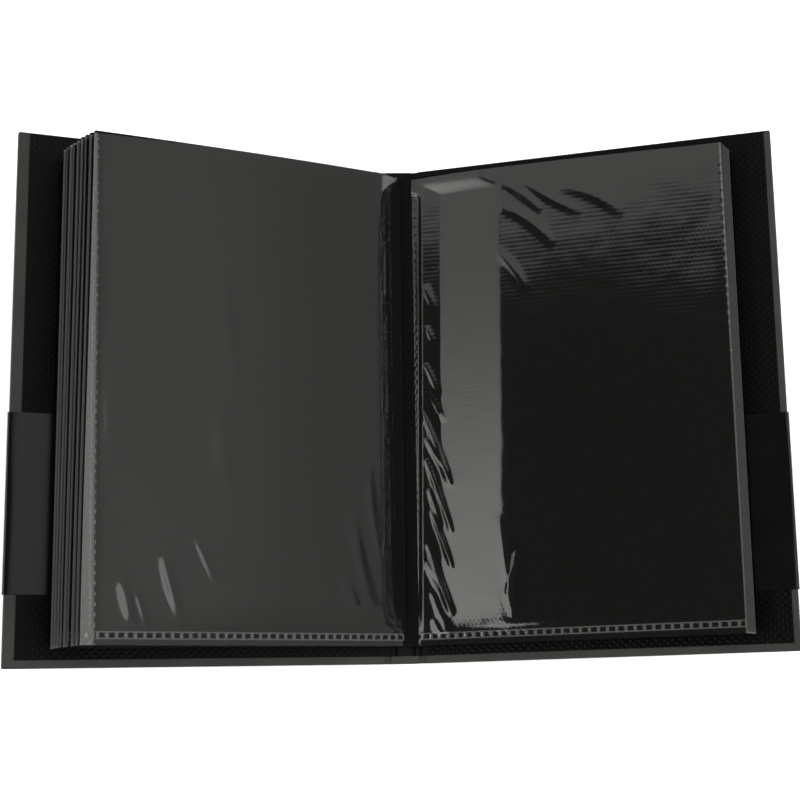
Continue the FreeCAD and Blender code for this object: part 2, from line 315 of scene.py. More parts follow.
class Graph:
    """Short calls for building a material's or the world's node tree."""

    def __init__(self, owner):
        owner.use_nodes = True
        self.owner = owner
        self.tree = owner.node_tree
        self.tree.nodes.clear()

    def node(self, kind, settings=None, **inputs):
        made = self.tree.nodes.new(kind)
        for key, value in (settings or {}).items():
            setattr(made, key, value)
        for key, value in inputs.items():
            self.feed(made, key, value)
        return made

    def feed(self, node, key, value):
        """Sets or links an input. i0, i1 and so on name it by its place, and _ stands for a space."""
        by_place = key[0] == "i" and key[1:].isdigit()
        socket = node.inputs[int(key[1:]) if by_place else key.replace("_", " ")]
        if isinstance(value, bpy.types.NodeSocket):
            self.tree.links.new(value, socket)
        else:
            socket.default_value = value

    def math(self, operation, *values):
        inputs = {f"i{place}": value for place, value in enumerate(values)}
        return self.node("ShaderNodeMath", {"operation": operation}, **inputs).outputs[0]

    def noise(self, vector, scale, detail=3.0, rough=0.5):
        made = self.node("ShaderNodeTexNoise", Vector=vector, Scale=scale, Detail=detail, Roughness=rough)
        return made.outputs["Fac"]

    def remap(self, value, low, high, to_low, to_high):
        made = self.node(
            "ShaderNodeMapRange",
            {"interpolation_type": "SMOOTHSTEP"},
            Value=value,
            From_Min=low,
            From_Max=high,
            To_Min=to_low,
            To_Max=to_high,
        )
        return made.outputs["Result"]

    def ramp(self, value, *stops):
        made = self.node("ShaderNodeValToRGB", Fac=value)
        elements = made.color_ramp.elements
        while len(elements) < len(stops):
            elements.new(0.5)
        for element, (position, colour) in zip(elements, stops):
            element.position = position
            element.color = (*colour, 1)
        return made.outputs["Color"]

    def bump(self, height, distance, strength=1.0, normal=None):
        made = self.node("ShaderNodeBump", Height=height, Distance=distance, Strength=strength)
        if normal is not None:
            self.tree.links.new(normal, made.inputs["Normal"])
        return made.outputs["Normal"]

    def from_middle(self, counted, pitch):
        """Distance from the middle of the cell, for a place counted in cells."""
        return self.math("MULTIPLY", self.math("SUBTRACT", self.math("FRACT", counted), 0.5), pitch)

    def dots(self, vector, lattice):
        """The lattice's relief, 0 to 1, for panel coordinates in millimetres."""
        parts = self.node("ShaderNodeSeparateXYZ", Vector=vector)
        rows = self.math("DIVIDE", parts.outputs["Y"], lattice.row_pitch)
        parity = self.math("FLOORED_MODULO", self.math("FLOOR", rows), 2.0)
        columns = self.math("DIVIDE", parts.outputs["X"], lattice.dot_pitch)
        columns = self.math("MULTIPLY_ADD", parity, 0.5, columns)
        across = self.from_middle(columns, lattice.dot_pitch)
        up_row = self.from_middle(rows, lattice.row_pitch)
        square = self.math("MULTIPLY_ADD", across, across, self.math("MULTIPLY", up_row, up_row))
        near = self.math("SUBTRACT", 1.0, self.math("DIVIDE", square, lattice.radius**2))
        return self.math("MAXIMUM", near, 0.0)

    def cells(self, across, middle, way):
        """1 in the pressed cells of a dashed weld that runs along way at across = middle, in millimetres."""
        off = self.math("ABSOLUTE", self.math("SUBTRACT", across, middle))
        cell = self.math("ABSOLUTE", self.from_middle(self.math("DIVIDE", way, DASH_PITCH), DASH_PITCH))
        inside = self.remap(cell, DASH_HALF * 0.8, DASH_HALF, 1.0, 0.0)
        return self.math("MULTIPLY", inside, self.remap(off, 0.6, 0.9, 1.0, 0.0))

    def mix(self, share, below, above):
        return self.node("ShaderNodeMixShader", Fac=share, i1=below.outputs[0], i2=above.outputs[0])

    def output(self, shader, kind="ShaderNodeOutputMaterial"):
        self.node(kind, Surface=shader.outputs[0])
        return self.owner

    def paint(self, colour, rough, specular, **more):
        """Ends a material with an opaque surface."""
        inputs = {"Base_Color": colour, "Roughness": rough, "Specular_IOR_Level": specular, **more}
        return self.output(self.node("ShaderNodeBsdfPrincipled", **inputs))


def start_material(name):
    return Graph(bpy.data.materials.new(name))


def object_mm(graph):
    """Object coordinates in millimetres."""
    place = graph.node("ShaderNodeTexCoord").outputs["Object"]
    scaled = graph.node("ShaderNodeVectorMath", {"operation": "SCALE"}, Vector=place, Scale=1 / MM)
    return scaled.outputs["Vector"]


def panel_mm(graph):
    """Panel coordinates, which the pieces store in millimetres."""
    return graph.node("ShaderNodeAttribute", {"attribute_name": "panel"}).outputs["Vector"]


def covering_material():
    graph = start_material("covering_paper")
    place = object_mm(graph)
    fibre = graph.noise(place, 2.2, 6.0, 0.65)
    cloud = graph.noise(place, 0.05, 2.0)
    tone = graph.math("MULTIPLY_ADD", fibre, 0.35, graph.math("MULTIPLY", cloud, 0.65))
    colour = graph.ramp(tone, (0.3, (0.013, 0.013, 0.012)), (0.7, (0.022, 0.022, 0.020)))
    rough = graph.remap(fibre, 0.3, 0.7, 0.5, 0.62)
    return graph.paint(colour, rough, 0.28, Normal=graph.bump(fibre, 0.03 * MM, 0.6))


def endpaper_material():
    graph = start_material("endpaper_embossed")
    place = panel_mm(graph)
    grain = graph.noise(place, 3.0, 4.0)
    dots = graph.dots(place, ENDPAPER_DOTS)
    # The colour is lighter on the raised dots, a painted highlight on their tops; the grain mixed in is
    # random tone.
    colour = graph.ramp(
        graph.math("MULTIPLY_ADD", dots, 0.5, graph.math("MULTIPLY", grain, 0.5)),
        (0.2, (0.0004, 0.0004, 0.0004)),
        (0.9, (0.0024, 0.0024, 0.0024)),
    )
    rough = graph.remap(grain, 0.3, 0.7, 0.36, 0.48)
    relief = graph.math("MULTIPLY_ADD", grain, 0.2, dots)
    return graph.paint(colour, rough, 0.14, Normal=graph.bump(relief, 0.05 * MM, 0.5))


def sheet_material():
    graph = start_material("page_sheet_embossed")
    place = panel_mm(graph)
    grain = graph.noise(place, 2.0, 4.0)
    dots = graph.dots(place, SHEET_DOTS)
    # The colour is lighter on the raised dots, a painted highlight on their tops; the grain mixed in is
    # random tone.
    colour = graph.ramp(
        graph.math("MULTIPLY_ADD", dots, 0.6, graph.math("MULTIPLY", grain, 0.4)),
        (0.2, (0.0017, 0.0016, 0.0015)),
        (0.9, (0.0035, 0.0033, 0.0030)),
    )
    rough = graph.remap(grain, 0.3, 0.7, 0.42, 0.55)
    return graph.paint(colour, rough, 0.06, Normal=graph.bump(dots, 0.05 * MM, 0.6))


FILM_IOR = 1.8
FILM_HAZE = 0.002
MARGIN_HAZE = 0.066
TAIL_HAZE = 0.05
WELD_SHINE = 0.35


def film_material(name, dot_press):
    """Clear film: it shows the sheet behind it and mirrors the room, more so at a glance. Its margins are a
    little milky, and the pressed cells of the welds are dull. Its panel coordinates hold the distance beyond
    the fore seam in Z."""
    graph = start_material(name)
    parts = graph.node("ShaderNodeSeparateXYZ", Vector=panel_mm(graph))
    out = parts.outputs["X"]
    along = parts.outputs["Y"]
    beyond = parts.outputs["Z"]
    place = graph.node("ShaderNodeCombineXYZ", X=out, Y=along).outputs[0]
    ripple = graph.noise(place, 0.10, 1.0, 0.5)
    rows = graph.math("SINE", graph.math("MULTIPLY", along, 2 * math.pi / SHEET_DOTS.row_pitch))
    print_through = graph.math("MULTIPLY_ADD", rows, 0.4, graph.dots(place, SHEET_DOTS))
    normal = graph.bump(print_through, 0.012 * MM, dot_press)
    normal = graph.bump(ripple, 0.06 * MM, 1.0, normal)
    mirror = graph.node("ShaderNodeBsdfAnisotropic", Roughness=0.06, Normal=normal)
    clear = graph.node("ShaderNodeBsdfTransparent")
    inside = graph.remap(beyond, -0.4, -0.1, 1.0, 0.0)
    cells = graph.math("MULTIPLY", graph.cells(along, SEAM_TAIL, out), inside)
    share = graph.node("ShaderNodeFresnel", IOR=FILM_IOR, Normal=normal).outputs[0]
    share = graph.math("MULTIPLY", share, graph.math("MULTIPLY_ADD", cells, WELD_SHINE - 1, 1.0))
    beyond_fore = graph.remap(beyond, -0.3, 0.2, 0.0, MARGIN_HAZE)
    from_tail = graph.math("ABSOLUTE", graph.math("SUBTRACT", along, SEAM_TAIL))
    by_tail = graph.remap(from_tail, 1.0, 1.3, TAIL_HAZE, 0.0)
    margin = graph.math("MAXIMUM", beyond_fore, by_tail)
    margin = graph.math("MULTIPLY", margin, graph.math("SUBTRACT", 1.0, cells))
    haze = graph.math("ADD", margin, FILM_HAZE)
    milky = graph.node("ShaderNodeBsdfDiffuse", Color=(0.8, 0.8, 0.78, 1.0))
    return graph.output(graph.mix(share, graph.mix(haze, clear, milky), mirror))


def band_material():
    graph = start_material("band_satin")
    place = object_mm(graph)
    grain = graph.noise(place, 4.0, 5.0, 0.6)
    cloud = graph.noise(place, 0.08, 2.0)
    colour = graph.ramp(cloud, (0.35, (0.0012, 0.0012, 0.0012)), (0.65, (0.0020, 0.0020, 0.0020)))
    rough = graph.remap(grain, 0.3, 0.7, 0.13, 0.19)
    return graph.paint(colour, rough, 0.5, Normal=graph.bump(grain, 0.01 * MM, 0.3))


def plain_material(name, dark, light, scale, rough, grain_depth):
    """A slightly uneven matt surface, for the parts that are glued or hidden."""
    graph = start_material(name)
    place = object_mm(graph)
    grain = graph.noise(place, scale, 5.0, 0.6)
    colour = graph.ramp(grain, (0.35, dark), (0.65, light))
    uneven = graph.remap(grain, 0.3, 0.7, rough - 0.05, rough + 0.05)
    return graph.paint(colour, uneven, 0.15, Normal=graph.bump(grain, grain_depth * MM, 0.6))


COVERING = covering_material()
ENDPAPER = endpaper_material()
SHEET = sheet_material()
FILM = film_material("pocket_film_clear", dot_press=0.3)
BAND = band_material()
GREYBOARD = plain_material("greyboard", (0.40, 0.38, 0.34), (0.52, 0.50, 0.46), 1.5, 0.85, 0.05)
GLUE = plain_material("binding_glue", (0.002,) * 3, (0.004,) * 3, 1.2, 0.6, 0.03)
LINING = plain_material("spine_lining_paper", (0.0018,) * 3, (0.0036,) * 3, 2.5, 0.6, 0.02)


def finish_piece(obj, material, slot_name, body, *nodes):
    """Material, the body it rides on and the CAD nodes it stands for; slot_name is not used."""
    obj.data.materials.clear()
    obj.data.materials.append(material)
    if body is not None:
        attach(obj, body)
    if nodes:
        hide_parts(*nodes)
    return obj


# ---------------------------------------------------------------- case: coverings, joints and endpapers

WRAP_RADIUS = 0.4
CORNER_RADIUS = 0.5
TURN_IN = 15.0
COVER_FROM = 2.5
WRAP_INSETS = (6.0, 2.5)
OUTLINE_ACROSS = 24
OUTLINE_ALONG = 34
STRIP_STEPS = 20


def wrap_profile():
    """Inset and height of the covering from the turned-in edge, round the board's edge, to the outer skin."""
    top = TURN_IN_TOP
    low = SKIN_LOW
    round_top = arc((WRAP_RADIUS, top - WRAP_RADIUS), WRAP_RADIUS, 90, 180, 6)
    round_low = arc((WRAP_RADIUS, low + WRAP_RADIUS), WRAP_RADIUS, 180, 270, 6)
    inner = [(TURN_IN, top)] + [(inset, top) for inset in WRAP_INSETS]
    outer = [(inset, low) for inset in WRAP_INSETS[::-1]]
    return np.concatenate([inner, round_top, round_low, outer])


def cover_outline(inset):
    """The cover's three free edges, from the joint at the tail round to the joint at the head."""
    radius = max(CORNER_RADIUS - inset, 0.04)
    reach = COVER_REACH - inset
    head = COVER_HEAD - inset
    straight_out = np.linspace(COVER_FROM, reach - radius, OUTLINE_ACROSS)
    straight_up = np.linspace(-head + radius, head - radius, OUTLINE_ALONG)
    tail = stack(straight_out, -head)
    tail_corner = arc((reach - radius, -head + radius), radius, -90, 0, 8)[1:-1]
    fore = stack(reach, straight_up)
    head_corner = arc((reach - radius, head - radius), radius, 0, 90, 8)[1:-1]
    top = stack(straight_out[::-1], head)
    return np.concatenate([tail, tail_corner, fore, head_corner, top])


def make_covering(side):
    place = cover_frame(side)
    profile = wrap_profile()
    rings = [cover_outline(inset) for inset, _ in profile]
    count = len(rings[0])
    points = np.concatenate([place(ring[:, 0], ring[:, 1], up) for ring, (_, up) in zip(rings, profile)])
    faces = grid_faces(len(rings), count, flip=side == BACK).tolist()
    last = (len(rings) - 1) * count
    skin = list(range(last, last + count))
    faces.append(skin if side == FRONT else skin[::-1])
    cover = new_object(f"covering_{SIDE_NAME[side]}", points, faces)
    thicken(cover)
    smooth(cover)
    body = f"{SIDE_NAME[side]}_cover"
    return finish_piece(cover, COVERING, "covering", body, f"{SIDE_NAME[side]}_covering")


def corner_tuck(side, end):
    """The mitred fold where the turned-in paper overlaps at a fore-edge corner: a thin raised triangle."""
    place = cover_frame(side)
    edge = 0.55
    reach = TURN_IN * 0.55
    steps = 12
    t = np.linspace(0, 1, steps)[:, None]
    diagonal_out = edge + (reach - edge) * t
    width = np.linspace(0, 1, 5)[None, :]
    inset_out = diagonal_out + 0 * width
    inset_along = edge + (diagonal_out - edge) * width
    out = COVER_REACH - inset_out
    along = end * (COVER_HEAD - inset_along)
    low = TURN_IN_TOP - 0.02
    high = TURN_IN_TOP + 0.09 * ease(width, 0.0, 0.3) + 0 * t
    name = f"tuck_{SIDE_NAME[side]}_{'head' if end > 0 else 'tail'}"
    piece = slab(name, place, out, along, low, high, side * end)
    smooth(piece)
    return finish_piece(piece, COVERING, "covering", f"{SIDE_NAME[side]}_cover")


def strip_ring(head, low, high):
    """A closed loop of (along, height) round a strip of the given height, with rounded head and tail."""
    radius = min(WRAP_RADIUS, (high - low) / 2 * 0.98)
    straight = np.linspace(-head + radius, head - radius, STRIP_STEPS)
    top = stack(straight[::-1], high)
    bottom = stack(straight, low)
    tail_high = arc((-head + radius, high - radius), radius, 90, 180, 5)[1:]
    tail_low = arc((-head + radius, low + radius), radius, 180, 270, 5)[:-1]
    head_low = arc((head - radius, low + radius), radius, -90, 0, 5)[1:]
    head_high = arc((head - radius, high - radius), radius, 0, 90, 5)[:-1]
    return np.concatenate([top, tail_high, tail_low, bottom, head_low, head_high])


def make_spine_covering():
    ring = strip_ring(COVER_HEAD, SPINE_BOTTOM, SPINE_TOP)
    across = np.linspace(-SPINE_HALF, SPINE_HALF, 5)
    points = np.array([[(x, y, z) for x in across] for y, z in ring])
    faces = grid_faces(len(ring), len(across), wrap=True)
    piece = new_object("covering_spine", points.reshape(-1, 3), faces)
    smooth(piece)
    return finish_piece(piece, COVERING, "covering", "spine", "spine_covering")


GROOVE_PINCH = 0.78
GROOVE_SINK = 0.25


def make_joint(side):
    """The covering between the spine board and a cover board, thin and sunk into the groove."""
    place = cover_frame(side)
    steps = 9
    spine_x = SPINE_HALF - 0.05
    cover_out = COVER_FROM + 0.4
    rings = []
    for t in np.linspace(0, 1, steps):
        pinch = math.sin(math.pi * t) ** 0.7
        half = (SPINE_TOP - SPINE_BOTTOM) / 2 * (1 - GROOVE_PINCH * pinch)
        ring = strip_ring(COVER_HEAD - 0.02, -half, half)
        spine_mid = np.array([side * spine_x, 0, (SPINE_TOP + SPINE_BOTTOM) / 2])
        cover_mid = place(cover_out, 0, (SKIN_LOW + TURN_IN_TOP) / 2)
        middle = spine_mid + (cover_mid - spine_mid) * t
        middle[2] -= GROOVE_SINK * math.sin(math.pi * t)
        turn = side * COVER_TILT * ease(t, 0, 1)
        up = np.array([-math.sin(turn), 0, math.cos(turn)])
        rings.append([middle + np.array([0, y, 0]) + up * w for y, w in ring])
    points = np.array(rings).transpose(1, 0, 2)
    faces = grid_faces(points.shape[0], steps, flip=side == FRONT, wrap=True)
    piece = new_object(f"joint_{SIDE_NAME[side]}", points.reshape(-1, 3), faces)
    smooth(piece)
    finish_piece(piece, COVERING, "covering", None)
    end = Vector(place(cover_out, 0, 0).tolist()) * MM
    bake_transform(piece)


ENDPAPER_STEP = 0.26
ENDPAPER_SEEN_FROM = 104.0
UNDER_LEAVES = 3.0


def dotted_patch(place, side, out_from, out_to, along_from, along_to):
    """A part of the endpaper that shows, with its dots, which fade out at the patch's own edge."""
    out = np.linspace(out_from, out_to, max(2, round((out_to - out_from) / ENDPAPER_STEP)))[None, :]
    along = np.linspace(along_from, along_to, max(2, round((along_to - along_from) / ENDPAPER_STEP)))[:, None]
    rim_out = np.minimum(out - out_from, out_to - out)
    rim_along = np.minimum(along - along_from, along_to - along)
    up = ENDPAPER_TOP + ENDPAPER_DOTS.relief(out, along) * ease(np.minimum(rim_out, rim_along), 0.0, 0.3)
    return surface("patch", place, out, along, up, side)


def make_endpaper(side):
    node = f"{SIDE_NAME[side]}_endpaper"
    low, high = box_mm(node)
    far = max(abs(low[0]), abs(high[0]))
    reach = (far - HINGE_X + TURN_IN_TOP * math.sin(COVER_TILT)) / math.cos(COVER_TILT)
    place = cover_frame(side)
    out = np.linspace(BOARD_START, reach, 40)[None, :]
    along = np.linspace(ENDPAPER_TAIL, ENDPAPER_HEAD, 50)[:, None]
    base = slab("base", place, out, along, TURN_IN_TOP, ENDPAPER_TOP - 0.01, side)
    seen = [
        (ENDPAPER_SEEN_FROM, reach, ENDPAPER_TAIL, ENDPAPER_HEAD),
        (BOARD_START, ENDPAPER_SEEN_FROM, ENDPAPER_TAIL, LEAF_TAIL + UNDER_LEAVES),
        (BOARD_START, ENDPAPER_SEEN_FROM, LEAF_HEAD - UNDER_LEAVES, ENDPAPER_HEAD),
    ]
    patches = [dotted_patch(place, side, *edges) for edges in seen]
    piece = join(f"endpaper_{SIDE_NAME[side]}", [base] + patches)
    smooth(piece, 30)
    return finish_piece(piece, ENDPAPER, "endpaper", f"{SIDE_NAME[side]}_cover", node)


def make_gutter_strip(side):
    """The endpaper where it crosses the joint and runs up to the binding."""
    place = cover_frame(side)
    steps = 12
    start = np.array([side * (BINDING_HALF - 0.1), 0, BINDING_LOW + 0.06])
    end = place(BOARD_START + 0.6, 0, ENDPAPER_TOP + 0.02)
    t = np.linspace(0, 1, steps)
    line = start[None, :] + (end - start)[None, :] * t[:, None]
    line[:, 2] -= 0.55 * np.sin(math.pi * t) ** 1.5
    along = np.linspace(ENDPAPER_TAIL, ENDPAPER_HEAD, 60)
    points = np.array([[(x, y, z) for x, _, z in line] for y in along])
    panel = np.array([[(HINGE_X + a * 6.0, y, 0.0) for a in t] for y in along])
    faces = grid_faces(len(along), steps, flip=side == FRONT)
    piece = new_object(f"gutter_strip_{SIDE_NAME[side]}", points.reshape(-1, 3), faces, panel.reshape(-1, 3))
    thicken(piece)
    smooth(piece)
    finish_piece(piece, ENDPAPER, "endpaper", None)
    start = Vector(start.tolist()) * MM
    end = Vector(end.tolist()) * MM
    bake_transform(piece)
    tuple(end)


# ---------------------------------------------------------------- leaves

LEAF_CORNER = 0.8
HEAD_GROWTH = {FRONT: 3.4, BACK: 2.2}
HEAD_DROP = 2.1
DRAWN_IN = 0.9


def skew(number, out, along):
    """Where a point of a leaf comes to lie: the head edge runs a little nearer the cover's head beside the
    binding, and the front leaves draw in and drop at their outer head corners, more so on top."""
    side = leaf_side(number)
    outward = np.clip(out / LEAF_REACH, 0, 1)
    headward = np.clip(along / LEAF_HEAD, 0, 1) ** 2
    growth = HEAD_GROWTH[side] * (1 - outward**1.5)
    pull = 0.0
    if side == FRONT:
        stack_share = (leaf_place(number) + 1) / LEAVES_PER_SIDE
        growth = growth - HEAD_DROP * stack_share * outward
        pull = DRAWN_IN * stack_share / LEAF_REACH
    return out * (1 - pull * ease(along, LEAF_TAIL, LEAF_HEAD)), along + growth * headward


def press_flat(piece, number):
    """Gives an upper film a mesh of its own; the foot and axis it works out are not used, and the film keeps
    its shape.
    """
    place = leaf_frame(number)
    foot = place(0, 0, SHEET_THICK)
    axis = place(0, 0, 1) - place(0, 0, 0)
    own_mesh(piece)


def leaf_rows(step):
    """Places along a leaf, closer together where its corners are rounded."""
    corner = LEAF_CORNER * (1 - np.cos(np.linspace(0, math.pi / 2, 6)))
    count = round((LEAF_HEAD - LEAF_TAIL) / step)
    middle = np.linspace(LEAF_TAIL + LEAF_CORNER, LEAF_HEAD - LEAF_CORNER, count)
    return np.concatenate([LEAF_TAIL + corner, middle[1:-1], (LEAF_HEAD - corner)[::-1]])


def leaf_edge(along):
    """How far out the sheet reaches at each place along it, with rounded corners."""
    near = np.minimum(along - LEAF_TAIL, LEAF_HEAD - along)
    into = np.clip(LEAF_CORNER - near, 0, LEAF_CORNER)
    return LEAF_REACH - (LEAF_CORNER - np.sqrt(np.maximum(LEAF_CORNER**2 - into**2, 0)))


def make_sheet(number, fine):
    side = leaf_side(number)
    place = leaf_frame(number)
    step = 0.45 if fine else 5.0
    along = leaf_rows(step)[:, None]
    out = np.linspace(0, 1, round(LEAF_REACH / step) + 1)[None, :] * leaf_edge(along)
    high = SHEET_THICK / 2
    if fine:
        high = high + SHEET_DOTS.relief(out, along) * 0.8 - 0.03
    piece = slab(f"{leaf_body(number)}_page", place, *skew(number, out, along), -SHEET_THICK / 2, high, side)
    smooth(piece, 50)
    return finish_piece(piece, SHEET, "page_sheet", leaf_body(number), f"{leaf_body(number)}_sheet")


class Ridge:
    """A crease in a film: a soft ridge between two points of its page."""

    def __init__(self, start, end, width, height, curve=0.0):
        self.start = np.array(start, float)
        self.end = np.array(end, float)
        self.width = width
        self.height = height
        self.curve = curve

    def lift(self, out, along):
        line = self.end - self.start
        length = np.hypot(*line)
        line = line / length
        from_start_out = out - self.start[0]
        from_start_along = along - self.start[1]
        t = (from_start_out * line[0] + from_start_along * line[1]) / length
        off = from_start_out * -line[1] + from_start_along * line[0]
        off = off - self.curve * 4 * t * (1 - t)
        taper = np.clip(4 * t * (1 - t), 0, 1) ** 0.7 * ((t > 0) & (t < 1))
        return self.height * np.exp(-((off / self.width) ** 2)) * taper


def wander(out, along, seed, size, wavelength):
    """A smooth random field: a few waves in random directions."""
    source = np.random.default_rng(seed)
    total = np.zeros(np.broadcast(out, along).shape)
    waves = 9
    for _ in range(waves):
        heading = source.uniform(0, math.pi)
        length = wavelength * source.uniform(0.6, 1.7)
        phase = source.uniform(0, 2 * math.pi)
        travel = out * math.cos(heading) + along * math.sin(heading)
        total = total + np.sin(travel * 2 * math.pi / length + phase) * length / wavelength
    return total * size / math.sqrt(waves)


def rise(out, slopes):
    """Height gained along a page whose slope is given at a few places, brought back to 0 at the last."""
    fine = np.linspace(slopes[0][0], slopes[-1][0], 600)
    slope = np.interp(fine, [s[0] for s in slopes], [s[1] for s in slopes])
    gained = np.concatenate([[0], np.cumsum((slope[1:] + slope[:-1]) / 2 * np.diff(fine))])
    crest = fine[np.argmax(gained)]
    excess = gained[-1] * ease(fine, crest, fine[-1])
    return np.interp(out, fine, gained - excess)


def dashes(across, way, half_high):
    """1 inside the pressed cells of a dashed weld that runs along way, 0 outside."""
    cell = np.abs((way / DASH_PITCH) % 1 - 0.5) * DASH_PITCH
    inside = 1 - ease(cell, DASH_HALF * 0.7, DASH_HALF * 1.1)
    return inside * (1 - ease(np.abs(across), half_high * 0.7, half_high * 1.15))


def share_up_page(along):
    """0 at the tail of a leaf, 1 at its head."""
    return (along - LEAF_TAIL) / (LEAF_HEAD - LEAF_TAIL)


class Film:
    """The shape of one pocket film over its sheet.

    slopes: how steeply it stands off its sheet at places outward from its root seam
    insets: how far the fore seam runs inside the fore-edge, at the tail and at the head
    seed and wave: the soft waves' random seed and their size
    mouth: the share of the height that is left at the open head
    tail_share: the share of the height that starts right at the tail seam
    pucker: how high the film stands between the pressed cells of its welds
    lean and opened: how far the slopes shift outward up the page, and inward at the mouth
    """

    def __init__(
        self, slopes, insets, ridges=(), seed=0, wave=0.0, mouth=0.6, pucker=0.02, tail_share=0.0, lean=0.0,
        opened=0.0,
    ):
        self.seed = seed
        self.slopes = slopes
        self.root = slopes[0][0]
        self.ridges = ridges
        self.wave = wave
        self.insets = insets
        self.mouth = mouth
        self.pucker = pucker
        self.tail_share = tail_share
        self.lean = lean
        self.opened = opened

    def beyond_fore(self, out, along):
        """Distance outward from the fore seam."""
        at_tail, at_head = self.insets
        return out - (LEAF_REACH - at_tail - (at_head - at_tail) * share_up_page(along))

    def height(self, out, along):
        """How far the film stands off its sheet."""
        beyond = self.beyond_fore(out, along)
        inside_fore = 1 - ease(beyond, -5.0, -0.6)
        inside_tail = ease(along, SEAM_TAIL + 0.6, SEAM_TAIL + 12)
        inside_root = ease(out, self.root + 8, self.root + 30)
        body = inside_fore * inside_tail * inside_root
        opening = self.opened * ease(along, FILM_HEAD - 7, FILM_HEAD - 1.5)
        shifted = out - self.lean * share_up_page(along) + opening
        puff = rise(np.clip(shifted, self.slopes[0][0], self.slopes[-1][0]), self.slopes)
        by_tail = self.tail_share * ease(along, SEAM_TAIL, SEAM_TAIL + 4)
        puff = puff * (by_tail + (1 - self.tail_share) * inside_tail)
        puff = puff * (1 - (1 - self.mouth) * ease(along, FILM_HEAD - 12, FILM_HEAD))
        wave = wander(out, along, self.seed, self.wave, WAVELENGTH) * body
        creases = sum((ridge.lift(out, along) for ridge in self.ridges), np.zeros_like(puff))
        creases = creases * ease(along, SEAM_TAIL + 0.4, SEAM_TAIL + 1.5) * (1 - ease(beyond, -1.0, -0.4))
        cells_tail = dashes(along - SEAM_TAIL, out, 0.8)
        cells_fore = dashes(beyond, along, 0.5)
        cells_root = dashes(out - self.root - 0.3, along, 0.6)
        pucker_tail = np.exp(-(((along - SEAM_TAIL) / 1.7) ** 2)) * (1 - cells_tail)
        pucker_fore = np.exp(-((beyond / 1.2) ** 2)) * (1 - cells_fore)
        pucker_root = np.exp(-(((out - self.root - 0.5) / 0.6) ** 2)) * (1 - cells_root)
        pucker = self.pucker * np.maximum(np.maximum(pucker_tail, pucker_fore), pucker_root)
        pressed = 1 - np.maximum(cells_tail, cells_fore)
        return FILM_CLEAR + np.maximum(puff + wave + creases, 0) * pressed + pucker


FILM_CLEAR = 0.03
WAVELENGTH = 45.0
QUIET = [(SEAM_ROOT, 0.004), (10.0, 0.0), (60.0, 0.0), (SEAM_FORE, 0.0)]
RIGHT_ROOT = 4.6
RIGHT_SLOPES = [
    (RIGHT_ROOT, 0.30),
    (5.8, 0.30),
    (6.4, -0.06),
    (12.0, -0.06),
    (13.2, 0.085),
    (24.0, 0.070),
    (33.0, 0.060),
    (37.0, -0.004),
    (60.0, -0.02),
    (107.0, -0.03),
    (109.5, 0.0),
]
LEFT_ROOT = 0.3
LEFT_SLOPES = [
    (LEFT_ROOT, 0.28),
    (2.0, 0.28),
    (7.5, 0.24),
    (10.0, 0.03),
    (30.0, 0.012),
    (60.0, -0.012),
    (107.0, -0.03),
    (109.5, 0.0),
]


def gutter_wrinkles(seed, count, low, high, root, reach, height):
    """Short creases that slant out and down from the gutter, as the pocket strains at its root seam."""
    source = np.random.default_rng(seed)
    made = []
    for along in np.linspace(high, low, count):
        start = (root + source.uniform(0.0, 3.0), along + source.uniform(-2, 2))
        length = reach * source.uniform(0.6, 1.3)
        end = (start[0] + length * 0.5, start[1] - length * source.uniform(0.9, 1.5))
        made.append(Ridge(start, end, source.uniform(0.7, 1.5), height * source.uniform(0.6, 1.2)))
    return made


RIGHT_RIDGES = [
    Ridge((34, -38), (38, -72), 1.3, 0.3),
    Ridge((40, -50), (36, -66), 0.9, 0.3),
    Ridge((37, 74), (52, 62), 1.2, 0.14, 1.0),
    Ridge((36, 66), (56, 50), 1.6, 0.16, 2.0),
    Ridge((44, 75), (66, 60), 1.3, 0.12, -1.0),
    Ridge((58, 70), (80, 58), 2.0, 0.12, 2.0),
    Ridge((34, 52), (46, 36), 1.4, 0.15, 1.0),
]
RIGHT_RIDGES += gutter_wrinkles(seed=3, count=9, low=-70, high=0, root=7.0, reach=16.0, height=0.45)
RIGHT_RIDGES += gutter_wrinkles(seed=8, count=4, low=5, high=40, root=8.0, reach=9.0, height=0.2)
LEFT_RIDGES = [
    Ridge((88, -52), (81, -74), 1.5, 0.22, 0.5),
    Ridge((78, -46), (70, -62), 0.9, 0.13),
    Ridge((101, -60), (97, -74), 1.8, 0.24),
    Ridge((97, -62), (92, -75), 1.0, 0.16),
    Ridge((67, 44), (62, -4), 2.6, 0.13, 3.0),
    Ridge((68, -2), (66, -34), 3.0, 0.16, 2.0),
    Ridge((22, -34), (13, -70), 2.0, 0.2, 1.0),
    Ridge((15, -20), (10, -52), 1.5, 0.18, 1.0),
    Ridge((26, -55), (19, -75), 2.0, 0.18, -1.0),
]


def film_grid(fine, root):
    """Places outward and along a film, closer together by its seams."""
    if fine:
        by_root = np.linspace(root, root + 4, 12)
        over = np.linspace(root + 4, SEAM_FORE - 3, 180)
        by_fore = np.linspace(SEAM_FORE - 3, FILM_REACH, 20)
        out = np.concatenate([by_root, over[1:-1], by_fore])
        by_tail = np.linspace(FILM_TAIL, SEAM_TAIL + 3, 22)
        along = np.concatenate([by_tail, np.linspace(SEAM_TAIL + 3, FILM_HEAD, 240)[1:]])
    else:
        inner = [2.0, 3.0, 4.5, 6.5, 9.0]
        middle = np.linspace(14, SEAM_FORE - 6, 14)
        outer = np.linspace(SEAM_FORE - 3.5, FILM_REACH, 10)
        out = np.concatenate([inner, middle, outer])
        by_tail = SEAM_TAIL + np.array([-1.6, -0.8, 0.0, 0.8, 1.6, 3.0])
        along = np.concatenate([[FILM_TAIL], by_tail, np.linspace(SEAM_TAIL + 4, FILM_HEAD, 150)])
    return out[None, :], along[:, None]


